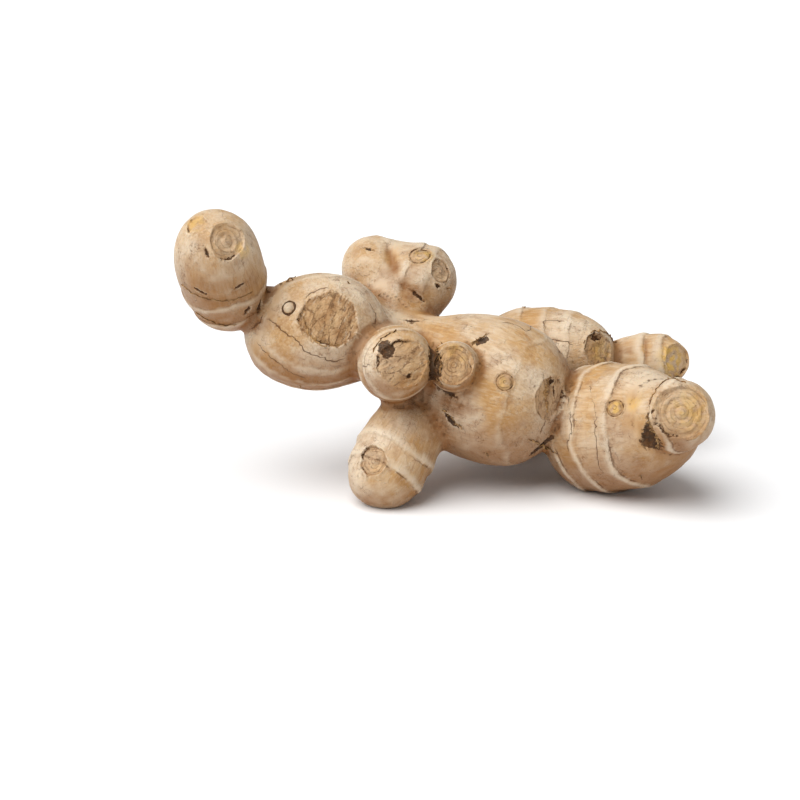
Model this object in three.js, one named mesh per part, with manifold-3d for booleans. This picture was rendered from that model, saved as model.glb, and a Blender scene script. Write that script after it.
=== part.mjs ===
// A fresh ginger root: one knobbly rhizome, grown as a chain of swollen joints with short fingers.
// Millimetres, +Z up, +X along the root's length. The root lies on the plane z = 0, on three low spots,
// and the origin is under the middle of its bounding box.
import * as THREE from "three";
import { mergeVertices } from "three/addons/utils/BufferGeometryUtils.js";
import Module from "manifold-3d";

const wasm = await Module();
wasm.setup();

// Driving dimensions.
const bodyRadius = 22.3; // the fattest joint
const skinCell = 3.45; // edge of the cubes that the skin is drawn through
const ringHeight = 0.9; // how far a growth ring stands out
const ringRise = 3; // length of a ring's gentle side, towards the joint's base
const ringFall = 1.3; // length of its steep side, towards the tip
const ringWander = 0.7; // how far a ring strays from a true circle
const ringWanderLength = 6;
const seam = 1.2; // how soon one joint's rings give way to the next one's
const swellHeight = 0.25; // slow unevenness of the skin
const swellLength = 8;
const relaxRounds = 3; // how often the drawn skin is evened out
const shortestEdge = 0.02; // shorter ones are closed up where solids are joined
const scarSides = 12;
const budSides = 7;

// A joint is a barrel round an axis that points at its growing tip.
// half: half its length; blend: how softly it runs into the joints listed before it;
// fullness: 2 for a true ellipsoid, more for a blunter one; taper: how much wider it is at its tip;
// rings: distances of its growth rings from the centre, along the axis. A joint without rings is a neck.
function joint(at, toward, half, radius, more) {
  return {
    at: new THREE.Vector3(...at),
    toward: new THREE.Vector3(...toward).normalize(),
    half,
    radius,
    blend: 0,
    fullness: 2.3,
    taper: 0,
    rings: null,
    ...more,
  };
}
const joints = {
  // The trunk: the fattest joint, a waist, and the shoulder that rises to the left.
  body: joint([14, -7.5, 30], [0.87, -0.48, -0.11], 24.5, bodyRadius, { rings: [14] }),
  waist: joint([-10.5, -3.5, 41.5], [-0.98, 0.06, 0.19], 20, 9.8, { blend: 8 }),
  shoulder: joint([-33.5, -5.5, 48], [0, -0.87, 0.49], 17.5, 16, { blend: 7, rings: [-3, 4, 10] }),
  hip: joint([-45.5, -4, 46.5], [-0.2, -0.9, 0.4], 14, 14, { blend: 12 }),
  // Fingers: the raised head, and two short stubs that face forward.
  head: joint([-66, -10, 67.5], [-0.17, -0.47, 0.87], 20.5, 13.1, {
    blend: 2.5, taper: 0.06, rings: [-11, -4],
  }),
  stub: joint([-14.5, -20, 42], [0.12, -0.95, 0.29], 15.5, 11, {
    blend: 3, fullness: 2.8, rings: [2, 8],
  }),
  peg: joint([3, -22.5, 41.5], [-0.05, -0.92, 0.38], 10, 7.2, {
    blend: 2.5, fullness: 2.8, rings: [3],
  }),
  // The arm, low at the right and forward, with the collared tip on its end.
  arm: joint([54.5, -15.5, 20.5], [0.7, -0.66, 0.27], 25.5, 19, {
    blend: 2, taper: -0.16, rings: [-12, -4, 7],
  }),
  armTip: joint([66.5, -31.5, 29.5], [0.7, -0.66, 0.27], 13, 10.6, {
    blend: 1.2, fullness: 2.8, rings: [4],
  }),
  // Behind: a side joint with its spur, and the crown that stands over the waist.
  back: joint([32.5, 28.5, 30], [0.95, -0.32, 0.05], 22.5, 14.4, { blend: 4, rings: [-6, 2, 10] }),
  backNeck: joint([22.5, 9.5, 30.5], [0.2, 0.93, -0.3], 17, 11, { blend: 7 }),
  spur: joint([63.5, 29.5, 27], [0.97, -0.23, 0.13], 14.5, 8.6, { blend: 3, rings: [2, 8] }),
  crown: joint([-8.5, 18, 57], [0.91, -0.42, 0.01], 12.5, 11.3, { blend: 4, rings: [2, 7.5] }),
  crownBase: joint([-20, 21, 59], [-0.72, -0.46, 0.53], 11.5, 10.3, { blend: 5, rings: [4] }),
  crownNeck: joint([-14.5, 10, 47.5], [0, 0.49, 0.87], 13, 10, { blend: 8 }),
  // Underneath: the foot and the heel, which carry the root together with the arm.
  foot: joint([-14.5, -22, 14], [-0.45, -0.54, -0.71], 17.5, 11.6, {
    blend: 5, fullness: 2.5, rings: [0, 7],
  }),
  heel: joint([26.5, 23, 13.5], [-0.11, 0.24, -0.96], 15, 11.5, { blend: 5, rings: [3] }),
};
const allJoints = Object.values(joints);

// Distance of a point outside one joint, and how far along the joint's axis it is.
const between = new THREE.Vector3();
const flattest = 0.01; // keeps the division below from running away at a joint's centre
function measure(joint, point) {
  const n = joint.fullness;
  between.subVectors(point, joint.at);
  joint.along = between.dot(joint.toward);
  const across = Math.sqrt(Math.max(between.lengthSq() - joint.along ** 2, 0));
  const a = Math.abs(joint.along) / joint.half;
  const b = across / (joint.radius * (1 + (joint.taper * joint.along) / joint.half));
  const q = Math.max((a ** n + b ** n) ** (1 / n), flattest);
  const steepness = Math.hypot(a ** (n - 1) / joint.half, b ** (n - 1) / joint.radius) / q ** (n - 1);
  joint.gap = (q - 1) / Math.max(steepness, flattest);
}

// Height of a joint's growth rings at the point that was measured.
function ringsOf(joint, wander) {
  let height = 0;
  for (const ring of joint.rings) {
    const past = joint.along + wander - ring;
    height = Math.max(height, Math.exp(-((past / (past > 0 ? ringFall : ringRise)) ** 2)));
  }
  return ringHeight * height;
}

// Distance of a point outside the whole root.
function outside(point) {
  let total = Infinity;
  let nearest = Infinity;
  for (const joint of allJoints) {
    measure(joint, point);
    const near = Math.max(joint.blend - Math.abs(total - joint.gap), 0);
    total = Math.min(total, joint.gap) - (near > 0 ? near ** 2 / (4 * joint.blend) : 0);
    nearest = Math.min(nearest, joint.gap);
  }
  const wander = ringWander * Math.sin((point.x + 2 * point.y - point.z) / ringWanderLength);
  let relief = 0;
  let share = 0;
  for (const joint of allJoints) {
    if (!joint.rings) continue;
    const weight = Math.exp((nearest - joint.gap) / seam);
    relief += weight * ringsOf(joint, wander);
    share += weight;
  }
  const swell =
    Math.sin(point.x / swellLength + 1.3) * Math.sin(point.y / swellLength + 0.4) +
    Math.sin(point.z / swellLength + point.x / (2 * swellLength));
  return total - relief / Math.max(share, flattest) - swellHeight * swell;
}

// Direction straight out of the skin near a point.
const probe = new THREE.Vector3();
const probeStep = 0.2;
function outward(point) {
  const out = new THREE.Vector3();
  for (const axis of ["x", "y", "z"]) {
    probe.copy(point);
    probe[axis] += probeStep;
    const above = outside(probe);
    probe[axis] -= 2 * probeStep;
    out[axis] = (above - outside(probe)) / (2 * probeStep);
  }
  return out;
}

// Moves a point onto the skin.
function ontoSkin(point, tries = 3) {
  for (let i = 0; i < tries; i++) {
    const out = outward(point);
    point.addScaledVector(out, -outside(point) / Math.max(out.lengthSq(), probeStep));
  }
  return point;
}

// Draws the skin as a net: one vertex in each cube that the skin passes through,
// and four-sided faces, each cut in two, between the vertices of neighbouring cubes.
const axes = ["x", "y", "z"];
function skinNet(low, high, cell) {
  const count = axes.map((axis) => Math.ceil((high[axis] - low[axis]) / cell) + 1);
  const at = (i, j, k) => (k * count[1] + j) * count[0] + i;
  const place = (i, j, k) => new THREE.Vector3(i, j, k).multiplyScalar(cell).add(low);
  const gaps = new Float32Array(count[0] * count[1] * count[2]);
  for (let k = 0; k < count[2]; k++)
    for (let j = 0; j < count[1]; j++)
      for (let i = 0; i < count[0]; i++) gaps[at(i, j, k)] = outside(place(i, j, k));
  const vertexOf = new Map();
  const vertices = [];
  const addVertex = (i, j, k) => {
    const middle = new THREE.Vector3();
    let crossings = 0;
    for (let corner = 0; corner < 8; corner++)
      for (let axis = 0; axis < 3; axis++) {
        if (corner & (1 << axis)) continue;
        const start = [i + (corner & 1), j + ((corner >> 1) & 1), k + ((corner >> 2) & 1)];
        const end = start.map((value, a) => value + (a === axis ? 1 : 0));
        const from = gaps[at(...start)];
        const to = gaps[at(...end)];
        if (from < 0 === to < 0) continue;
        const crossing = place(...start);
        crossing[axes[axis]] += (cell * from) / (from - to);
        middle.add(crossing);
        crossings++;
      }
    if (!crossings) return;
    vertexOf.set(at(i, j, k), vertices.length);
    vertices.push(middle.divideScalar(crossings));
  };
  for (let k = 0; k < count[2] - 1; k++)
    for (let j = 0; j < count[1] - 1; j++)
      for (let i = 0; i < count[0] - 1; i++) addVertex(i, j, k);
  const faces = [];
  const steps = [at(1, 0, 0), at(0, 1, 0), at(0, 0, 1)];
  for (const here of vertexOf.keys())
    for (let axis = 0; axis < 3; axis++) {
      const inside = gaps[here] < 0;
      if (inside === gaps[here + steps[axis]] < 0) continue;
      const across = steps[(axis + 1) % 3];
      const along = steps[(axis + 2) % 3];
      const cubes = [here - across - along, here - along, here, here - across];
      const ring = cubes.map((cube) => vertexOf.get(cube));
      if (!inside) ring.reverse();
      faces.push([ring[0], ring[1], ring[2]], [ring[0], ring[2], ring[3]]);
    }
  return { vertices, faces };
}

// Evens out the net's vertices, keeping each on the skin.
const keep = 0.4; // share of a vertex's own place in its next one
function relax({ vertices, faces }, rounds) {
  const neighbours = vertices.map(() => new Set());
  for (const face of faces)
    face.forEach((vertex, i) => {
      neighbours[vertex].add(face[(i + 1) % 3]);
      neighbours[vertex].add(face[(i + 2) % 3]);
    });
  for (let round = 0; round < rounds; round++) {
    const moved = vertices.map((vertex, i) => {
      const middle = new THREE.Vector3();
      for (const other of neighbours[i]) middle.add(vertices[other]);
      return ontoSkin(middle.divideScalar(neighbours[i].size).lerp(vertex, keep));
    });
    moved.forEach((vertex, i) => vertices[i].copy(vertex));
  }
}

// three.js geometry to a solid and back. Faces without area, as at a lathe's poles, are left out.
function solidOf(geometry) {
  const bare = new THREE.BufferGeometry();
  bare.setAttribute("position", geometry.getAttribute("position"));
  if (geometry.index) bare.setIndex(geometry.index);
  const merged = mergeVertices(bare, 1e-4);
  const corners = merged.index.array;
  const kept = [];
  for (let i = 0; i < corners.length; i += 3) {
    const [a, b, c] = corners.slice(i, i + 3);
    if (a !== b && b !== c && c !== a) kept.push(a, b, c);
  }
  return new wasm.Manifold(
    new wasm.Mesh({
      numProp: 3,
      vertProperties: new Float32Array(merged.attributes.position.array),
      triVerts: new Uint32Array(kept),
      tolerance: shortestEdge,
    }),
  );
}
function geometryOf(solid) {
  const mesh = solid.getMesh();
  const geometry = new THREE.BufferGeometry();
  geometry.setAttribute("position", new THREE.BufferAttribute(mesh.vertProperties, 3));
  geometry.setIndex(new THREE.BufferAttribute(mesh.triVerts, 1));
  geometry.computeVertexNormals();
  return geometry;
}

// A round of a given profile, a little out of true, seated on the skin round a point.
// Heights in the profile are counted from the plane in which a circle of the given radius meets the skin.
const unevenness = 0.05; // share of the radius by which the round strays in and out
const up = new THREE.Vector3(0, 1, 0);
function seated(at, radius, profile, sides) {
  const centre = ontoSkin(new THREE.Vector3(...at));
  const facing = outward(centre).normalize();
  const turned = new THREE.Quaternion().setFromUnitVectors(up, facing);
  const rim = [];
  for (let i = 0; i < sides; i++) {
    const turn = (i / sides) * 2 * Math.PI;
    const spoke = new THREE.Vector3(Math.cos(turn), 0, Math.sin(turn)).multiplyScalar(radius);
    rim.push(ontoSkin(spoke.applyQuaternion(turned).add(centre)));
  }
  const level = rim.reduce((sum, place) => sum + place.sub(centre).dot(facing), 0) / sides;
  const round = new THREE.LatheGeometry(profile.map(([r, h]) => new THREE.Vector2(r, h)), sides);
  const places = round.getAttribute("position");
  for (let i = 0; i < places.count; i++) {
    const turn = Math.atan2(places.getZ(i), places.getX(i));
    const stretch = 1 + unevenness * Math.sin(2 * turn + at[0]) + unevenness * Math.sin(3 * turn + at[1]);
    places.setXYZ(i, places.getX(i) * stretch, places.getY(i), places.getZ(i) * stretch);
  }
  round.applyQuaternion(turned).translate(...centre.addScaledVector(facing, level).toArray());
  return solidOf(round);
}

// The skin.
const roomLow = new THREE.Vector3(-90, -58, -8);
const roomHigh = new THREE.Vector3(92, 56, 98);
const net = skinNet(roomLow, roomHigh, skinCell);
relax(net, relaxRounds);
const skin = new THREE.BufferGeometry();
const places = net.vertices.flatMap((vertex) => vertex.toArray());
skin.setAttribute("position", new THREE.Float32BufferAttribute(places, 3));
skin.setIndex(net.faces.flat());
let root = solidOf(skin);

// Scars where fingers broke off or shoots died back: a low rim round a shallow dish with a knob.
const rimHeight = 0.4;
const rimWidth = 1;
const rimSunk = 2.5; // how far the rim's foot goes under the skin
const dishDepth = 0.55;
const knobShare = 0.4; // the knob's radius as a share of the dish's
const scars = [
  { name: "shoulder", at: [-34, -21, 56], radius: 8.2 },
  { name: "stub's end", at: [-12.5, -34.5, 47], radius: 8 },
  { name: "peg's end", at: [3, -32, 45], radius: 5.6 },
  { name: "arm's tip", at: [69, -43.5, 34.5], radius: 8 },
  { name: "body's end", at: [32, -25.5, 31.5], radius: 5 },
  { name: "head's end", at: [-63, -23.5, 80.5], radius: 5 },
  { name: "head's top", at: [-72.5, -19.5, 84.5], radius: 3.6 },
  { name: "crown", at: [-0.5, 9, 62.5], radius: 3.8 },
  { name: "side joint", at: [49.5, 16, 35.5], radius: 5.2 },
  { name: "spur's end", at: [75, 22.5, 30], radius: 5 },
  { name: "foot", at: [-21, -33.5, 16], radius: 4.4 },
  { name: "shoulder's rear", at: [-37, 9.5, 43], radius: 5.4 },
  { name: "side joint's rear end", at: [12, 36, 30], radius: 6 },
];
for (const { at, radius } of scars) {
  const outer = radius + rimWidth / 2;
  const inner = radius - rimWidth / 2;
  const rim = [
    [0, -rimSunk],
    [radius, -rimSunk],
    [outer, 0],
    [radius, rimHeight],
    [0, rimHeight],
  ];
  const dish = [
    [0, 0],
    [inner * knobShare, -dishDepth],
    [inner - rimHeight, -dishDepth],
    [inner, rimHeight],
    [inner, rimSunk],
    [0, rimSunk],
  ];
  root = root.add(seated(at, radius, rim, scarSides));
  root = root.subtract(seated(at, radius, dish, scarSides));
}

// Sleeping buds: low domes.
const budSunk = 1;
const budHeight = 0.7; // share of the bud's radius
const buds = [
  { name: "shoulder", at: [-46, -17, 58], radius: 2.4 },
  { name: "body", at: [18, -29.5, 39.5], radius: 2.6 },
  { name: "arm", at: [50.5, -31.5, 32], radius: 2.8 },
  { name: "crown", at: [-7, 11, 67], radius: 2.8 },
  { name: "crown's rear", at: [-10, 29, 58], radius: 2.4 },
  { name: "head's rear", at: [-66, 1, 74], radius: 2.4 },
  { name: "side joint's rear", at: [30, 42, 36], radius: 2.6 },
  { name: "arm's outer side", at: [70, -8, 18], radius: 2.4 },
];
for (const { at, radius } of buds) {
  const dome = [[0, -budSunk], [radius, -budSunk]];
  for (const turn of [0.35, 1, Math.PI / 2])
    dome.push([radius * Math.cos(turn), radius * budHeight * Math.sin(turn)]);
  dome[dome.length - 1][0] = 0;
  root = root.add(seated(at, radius, dome, budSides));
}

// What lies below the surface that the root rests on is cut away: a small flat on each low spot.
const roomSize = 300;
const above = new THREE.BoxGeometry(roomSize, roomSize, roomSize).translate(0, 0, roomSize / 2);
root = root.intersect(solidOf(above));

// The box's middle goes to the origin.
const hull = geometryOf(root);
hull.computeBoundingBox();
const middle = hull.boundingBox.getCenter(new THREE.Vector3());
hull.translate(-middle.x, -middle.y, 0);

const gingerSkin = new THREE.MeshStandardMaterial({ color: 0xcfae80, roughness: 0.75, metalness: 0 });
gingerSkin.name = "ginger skin";
const rhizome = new THREE.Mesh(hull, gingerSkin);
rhizome.name = "rhizome";

const gingerRoot = new THREE.Group();
gingerRoot.add(rhizome);
export default gingerRoot;
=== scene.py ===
import math

import bpy
import numpy as np
from mathutils import Matrix, Vector, noise
from mathutils.bvhtree import BVHTree


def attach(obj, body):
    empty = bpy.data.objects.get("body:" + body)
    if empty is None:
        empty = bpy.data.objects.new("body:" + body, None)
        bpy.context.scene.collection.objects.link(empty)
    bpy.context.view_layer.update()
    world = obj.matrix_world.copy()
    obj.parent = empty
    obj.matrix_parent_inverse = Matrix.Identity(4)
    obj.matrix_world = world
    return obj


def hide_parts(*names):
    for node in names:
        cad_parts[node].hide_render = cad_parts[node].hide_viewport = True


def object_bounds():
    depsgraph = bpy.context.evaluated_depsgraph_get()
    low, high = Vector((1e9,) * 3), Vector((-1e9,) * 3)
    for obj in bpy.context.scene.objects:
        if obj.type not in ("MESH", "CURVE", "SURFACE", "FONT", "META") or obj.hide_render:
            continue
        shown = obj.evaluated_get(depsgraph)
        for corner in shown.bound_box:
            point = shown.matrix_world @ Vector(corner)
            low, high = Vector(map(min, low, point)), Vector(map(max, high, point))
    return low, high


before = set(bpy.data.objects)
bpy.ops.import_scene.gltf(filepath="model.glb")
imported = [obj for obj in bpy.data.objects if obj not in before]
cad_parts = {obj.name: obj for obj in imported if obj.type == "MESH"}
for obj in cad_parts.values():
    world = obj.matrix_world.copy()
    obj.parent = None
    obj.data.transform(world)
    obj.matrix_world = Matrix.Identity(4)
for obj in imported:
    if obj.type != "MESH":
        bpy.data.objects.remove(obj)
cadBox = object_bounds()
print("frame loaded")

# Camera: the photograph's angle. The square picture shows 0.3 mm a pixel at the aim.
view = {
    "aim": (-0.0129, -0.016, 0.0293), "distance": 0.75, "lookingDown": 18,
    "lens": 112.5, "sensor": 36, "pictureSide": 800,
}
tilt = math.radians(90 - view["lookingDown"])
turned = Matrix.Rotation(tilt, 3, "X")
cameraPlace = Vector(view["aim"]) + turned @ Vector((0, 0, view["distance"]))
bpy.ops.object.camera_add(location=cameraPlace, rotation=(tilt, 0, 0))
camera = bpy.context.object
camera.data.lens = view["lens"]
camera.data.sensor_width = view["sensor"]
camera.data.clip_start = 0.01
bpy.context.scene.camera = camera
bpy.context.scene.view_settings.view_transform = "Standard"

# The root's form is given in millimetres, as in the solid, which was centred afterwards.
millimetres = 1000
centring = np.array((0.139, 0.195, 0))


# A swollen joint: an egg-like form round a middle, along an axis, blended into the others.
def joint(at, toward, half, radius, blend=0, fullness=2.3, taper=0, rings=None):
    axis = Vector(toward).normalized()
    side = axis.orthogonal().normalized()
    return {
        "at": np.array(at, float), "half": half, "radius": radius, "blend": blend,
        "fullness": fullness, "taper": taper, "rings": rings,
        "axis": np.array(axis), "side": np.array(side), "other": np.array(axis.cross(side)),
    }


joints = {
    "body": joint((14, -7.5, 30), (0.87, -0.48, -0.11), 24.5, 22.3, rings=(14,)),
    "waist": joint((-10.5, -3.5, 41.5), (-0.98, 0.06, 0.19), 20, 9.8, blend=8),
    "shoulder": joint((-33.5, -5.5, 48), (0, -0.87, 0.49), 17.5, 16, blend=7, rings=(-3, 4, 10)),
    "hip": joint((-45.5, -4, 46.5), (-0.2, -0.9, 0.4), 14, 14, blend=12),
    "head": joint((-66, -10, 67.5), (-0.17, -0.47, 0.87), 20.5, 13.1, blend=2.5, taper=0.06, rings=(-11, -4)),
    "stub": joint((-14.5, -20, 42), (0.12, -0.95, 0.29), 15.5, 11, blend=3, fullness=2.8, rings=(2, 8)),
    "peg": joint((3, -22.5, 41.5), (-0.05, -0.92, 0.38), 10, 7.2, blend=2.5, fullness=2.8, rings=(3,)),
    "arm": joint((54.5, -15.5, 20.5), (0.7, -0.66, 0.27), 25.5, 19, blend=2, taper=-0.16, rings=(-12, -4, 7)),
    "armTip": joint((66.5, -31.5, 29.5), (0.7, -0.66, 0.27), 13, 10.6, blend=1.2, fullness=2.8, rings=(4,)),
    "back": joint((32.5, 28.5, 30), (0.95, -0.32, 0.05), 22.5, 14.4, blend=4, rings=(-6, 2, 10)),
    "backNeck": joint((22.5, 9.5, 30.5), (0.2, 0.93, -0.3), 17, 11, blend=7),
    "spur": joint((63.5, 29.5, 27), (0.97, -0.23, 0.13), 14.5, 8.6, blend=3, rings=(2, 8)),
    "crown": joint((-8.5, 18, 57), (0.91, -0.42, 0.01), 12.5, 11.3, blend=4, rings=(2, 7.5)),
    "crownBase": joint((-20, 21, 59), (-0.72, -0.46, 0.53), 11.5, 10.3, blend=5, rings=(4,)),
    "crownNeck": joint((-14.5, 10, 47.5), (0, 0.49, 0.87), 13, 10, blend=8),
    "foot": joint((-14.5, -22, 14), (-0.45, -0.54, -0.71), 17.5, 11.6, blend=5, fullness=2.5, rings=(0, 7)),
    "heel": joint((26.5, 23, 13.5), (-0.11, 0.24, -0.96), 15, 11.5, blend=5, rings=(3,)),
}
ringed = [name for name in joints if joints[name]["rings"]]


# How far points are outside one joint, and how far along its axis.
def measure(j, points):
    n = j["fullness"]
    between = points - j["at"]
    along = between @ j["axis"]
    across = np.sqrt(np.maximum((between**2).sum(1) - along**2, 0))
    a = np.abs(along) / j["half"]
    b = across / (j["radius"] * (1 + j["taper"] * along / j["half"]))
    q = np.maximum((a**n + b**n) ** (1 / n), 0.01)
    steepness = np.hypot(a ** (n - 1) / j["half"], b ** (n - 1) / j["radius"]) / q ** (n - 1)
    return (q - 1) / np.maximum(steepness, 0.01), along


# How far points are outside the whole root.
def outside(points):
    total = None
    for j in joints.values():
        gap, along = measure(j, points)
        if total is None:
            total = gap
            continue
        near = np.maximum(j["blend"] - np.abs(total - gap), 0)
        total = np.minimum(total, gap) - (near**2 / (4 * j["blend"]) if j["blend"] else 0)
    x, y, z = points.T
    swell = np.sin(x / 8 + 1.3) * np.sin(y / 8 + 0.4) + np.sin(z / 8 + x / 16)
    return total - 0.25 * swell


# The way out of the root at each point.
def outward(points, step=0.3):
    slope = np.zeros_like(points)
    for axis in range(3):
        shift = np.zeros(3)
        shift[axis] = step
        slope[:, axis] = (outside(points + shift) - outside(points - shift)) / (2 * step)
    return slope


def noiseAt(points, size, seed=0.0):
    return np.array([noise.noise(Vector(p)) for p in points / size + seed])


def smooth(low, high, value):
    t = np.clip((value - low) / (high - low), 0, 1)
    return t * t * (3 - 2 * t)


# The fine piece: a copy of the solid, drawn again in small even faces.
fineness = {"voxel": 0.0011, "quickVoxel": 0.0014, "evening": 6}
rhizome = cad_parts["rhizome"]
skin = rhizome.copy()
skin.data = rhizome.data.copy()
skin.name = skin.data.name = "ginger_root"
bpy.context.scene.collection.objects.link(skin)
bpy.ops.object.select_all(action="DESELECT")
bpy.context.view_layer.objects.active = skin
skin.select_set(True)
bpy.ops.object.mode_set(mode="EDIT")
bpy.ops.mesh.select_all(action="SELECT")
bpy.ops.mesh.remove_doubles(threshold=1e-6)
bpy.ops.object.mode_set(mode="OBJECT")
redrawn = skin.modifiers.new("redrawn", "REMESH")
redrawn.mode = "VOXEL"
redrawn.voxel_size = fineness["voxel"]
bpy.ops.object.modifier_apply(modifier=redrawn.name)
evened = skin.modifiers.new("evened", "SMOOTH")
evened.iterations = fineness["evening"]
bpy.ops.object.modifier_apply(modifier=evened.name)


def readPoints():
    flat = np.empty(len(skin.data.vertices) * 3)
    skin.data.vertices.foreach_get("co", flat)
    return flat.reshape(-1, 3) * millimetres - centring


# Moves points onto the form's surface.
def ontoForm(points, turns):
    for turn in range(turns):
        slope = outward(points)
        points = points - slope * (outside(points) / np.maximum((slope**2).sum(1), 0.2))[:, None]
    return points


def surfaceTree(points):
    faces = [tuple(face.vertices) for face in skin.data.polygons]
    return BVHTree.FromPolygons([tuple(p) for p in points], faces)


points = ontoForm(readPoints(), 2)
formTree = surfaceTree(points)


# The place on the skin that is seen at x, y of the picture, or the skin nearest to x, y, z in millimetres.
def spotOn(at):
    if len(at) == 3:
        return np.array(formTree.find_nearest(Vector(at))[0])
    pixelsPerUnit = view["lens"] / view["sensor"] * view["pictureSide"]
    middle = view["pictureSide"] / 2
    towards = turned @ Vector(((at[0] - middle) / pixelsPerUnit, (middle - at[1]) / pixelsPerUnit, -1))
    hit = formTree.ray_cast(cameraPlace * millimetres - Vector(centring), towards.normalized())[0]
    if hit is None:
        raise ValueError(f"nothing is seen at {at}")
    return np.array(hit)


# Scars where a shoot or a finger came away. Ringed ones show rings, the others torn fibres at an angle.
# Dark is the side where the edge is open, and its rim is darkened there as painted shade. Grey is how far the
# scar's own colour shows.
scars = {
    "shoulder": {
        "at": (329, 319), "radius": 8.4, "ringed": 0.3, "shadeSide": 215, "dome": 0.7, "fibres": 65,
        "grey": 0.9,
    },
    "stub": {
        "at": (403, 363), "radius": 7.2, "ringed": 0.1, "shadeSide": 135, "dome": 1.0, "fibres": 30,
        "grey": 0.7, "lip": 0.1,
    },
    "peg": {
        "at": (455, 364), "radius": 5.8, "ringed": 0.75, "shadeSide": 180, "dome": 0.5, "fibres": 80,
        "grey": 0.7,
    },
    "armTip": {
        "at": (684, 411), "radius": 8.2, "ringed": 1.0, "shadeSide": 200, "dome": 0.4, "fibres": 0,
        "grey": 0.35, "knob": 0.7,
    },
    "body": {
        "at": (552, 398), "radius": 6.6, "ringed": 0.0, "shadeSide": 30, "dome": 0.2, "fibres": 80,
        "grey": 0.5, "lip": 0.1,
    },
    "headEnd": {
        "at": (228, 240), "radius": 5.4, "ringed": 1.0, "shadeSide": 250, "dome": 0.3, "fibres": 0,
        "grey": 0.4, "knob": 0.5,
    },
    "headTop": {
        "at": (196, 224), "radius": 3.4, "ringed": 0.2, "shadeSide": 200, "dome": 0.1, "fibres": 20,
        "grey": 0.25,
    },
    "crown": {
        "at": (441, 271), "radius": 3.8, "ringed": 0.9, "shadeSide": 10, "dome": 0.2, "fibres": 0,
        "grey": 0.6, "knob": 0.5,
    },
    "side": {
        "at": (600, 350), "radius": 5.4, "ringed": 0.3, "shadeSide": 110, "dome": 0.5, "fibres": 70,
        "grey": 0.65,
    },
    "spur": {
        "at": (75, 22.5, 30), "radius": 5.2, "ringed": 0.3, "shadeSide": 300, "dome": 0.2, "fibres": 20,
        "grey": 0.3,
    },
    "foot": {
        "at": (-21, -33.5, 16), "radius": 4.4, "ringed": 0.8, "shadeSide": 180, "dome": 0.3, "fibres": 0,
        "grey": 0.6, "knob": 0.4,
    },
    "shoulderRear": {
        "at": (-37, 9.5, 43), "radius": 5.4, "ringed": 0.5, "shadeSide": 240, "dome": 0.5, "fibres": 50,
        "grey": 0.7,
    },
    "sideRear": {
        "at": (12, 36, 30), "radius": 6.0, "ringed": 0.7, "shadeSide": 200, "dome": 0.4, "fibres": 10,
        "grey": 0.6, "knob": 0.5,
    },
}
# Buds: small round knobs with a ring.
buds = {
    "shoulder": {"at": (289, 308), "radius": 1.9, "high": 1.9, "pale": 1.0},
    "body": {"at": (505, 382), "radius": 2.3, "high": 0.45},
    "arm": {"at": (615, 408), "radius": 2.3, "high": 0.45},
    "crown": {"at": (420, 256), "radius": 2.8, "high": 0.5},
    "crownRear": {"at": (-10, 29, 58), "radius": 2.4, "high": 0.6},
    "headRear": {"at": (-60, -3, 78), "radius": 1.8, "high": 0.6},
    "sideRear": {"at": (30, 42, 36), "radius": 2.4, "high": 0.6},
    "armOuter": {"at": (70, -8, 18), "radius": 2.4, "high": 0.5},
}
# Pits, nicks and torn places: half length and half width, turn as seen, depth. They are darkened inside as
# painted shade, all over where solid.
pits = {
    "headSlotA": {"at": (200, 291), "size": (2.4, 0.55), "turn": -20, "depth": 0.5},
    "headSlotB": {"at": (240, 286), "size": (2.0, 0.5), "turn": 15, "depth": 0.4},
    "headDent": {"at": (206, 253), "size": (0.6, 2.4), "turn": 25, "depth": 0.5},
    "headNeck": {"at": (247, 310), "size": (1.2, 1.7), "turn": -20, "depth": 0.9},
    "headSide": {"at": (260, 304), "size": (0.7, 3.4), "turn": -12, "depth": 0.7},
    "stubPatch": {"at": (385, 348), "size": (2.3, 2.7), "turn": 30, "depth": 0.7, "solid": True},
    "stubHoleA": {"at": (410, 377), "size": (0.9, 1.3), "turn": 0, "depth": 0.8},
    "stubHoleB": {"at": (390, 368), "size": (0.6, 0.9), "turn": 0, "depth": 0.5},
    "pegSide": {"at": (435, 364), "size": (1.8, 6.5), "turn": 2, "depth": 1.0, "solid": True},
    "pegBelow": {"at": (447, 392), "size": (4.0, 1.4), "turn": -12, "depth": 0.8},
    "pegMiddle": {"at": (452, 360), "size": (0.6, 1.9), "turn": 30, "depth": 0.5},
    "sideHole": {"at": (596, 337), "size": (2.2, 1.1), "turn": 12, "depth": 0.9},
    "bodyFlap": {"at": (482, 341), "size": (2.4, 1.1), "turn": 25, "depth": 0.7, "solid": True},
    "bodyWedge": {"at": (451, 420), "size": (2.8, 1.0), "turn": -32, "depth": 0.9, "solid": True},
    "bodySlit": {"at": (412, 321), "size": (3.0, 0.7), "turn": 12, "depth": 0.5},
    "bodyUnder": {"at": (541, 446), "size": (4.4, 1.6), "turn": 25, "depth": 0.9, "solid": True},
    "bodyScarSlit": {"at": (557, 392), "size": (0.6, 2.4), "turn": 12, "depth": 0.6},
    "bodyScarTop": {"at": (553, 382), "size": (1.5, 0.7), "turn": 30, "depth": 0.6, "solid": True},
    "armFlap": {
        "at": (650, 436), "size": (3.0, 5.2), "turn": 14, "depth": 1.6, "solid": True, "narrows": 0.6,
    },
    "crownSlitA": {"at": (368, 248), "size": (2.0, 0.5), "turn": -25, "depth": 0.4},
    "crownSlitB": {"at": (418, 296), "size": (3.0, 0.6), "turn": -42, "depth": 0.5},
    "crownPoint": {"at": (438, 286), "size": (1.3, 0.8), "turn": -30, "depth": 0.6},
}
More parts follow.
